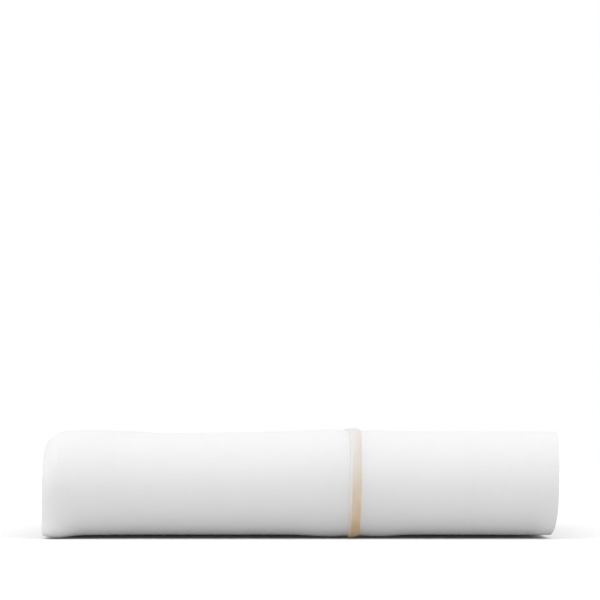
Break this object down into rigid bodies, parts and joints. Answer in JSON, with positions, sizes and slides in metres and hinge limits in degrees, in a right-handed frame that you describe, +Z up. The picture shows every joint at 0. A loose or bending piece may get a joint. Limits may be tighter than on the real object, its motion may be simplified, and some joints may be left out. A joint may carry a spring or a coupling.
{
  "type": "folded flat sheet",
  "caption": "Queen-size white cotton flat sheet, folded into a flat stack for the shelf, with a beige corded line sewn across its cuff and round the front fold.",
  "frame": {"origin": "middle of the footprint, on the surface that the stack rests on", "axes": "+X along the front fold towards the cuff's edge, +Y from the front fold to the back, +Z up"},
  "size_m": [0.321, 0.3, 0.0683],
  "materials": {
    "cloth": "smooth fine-woven white cotton, matt with a faint sheen",
    "trim": "raised corded satin stitch in beige thread, with a soft sheen"
  },
  "bodies": {
    "root": {"sheet": "cloth", "trim": "trim"}
  },
  "joints": []
}
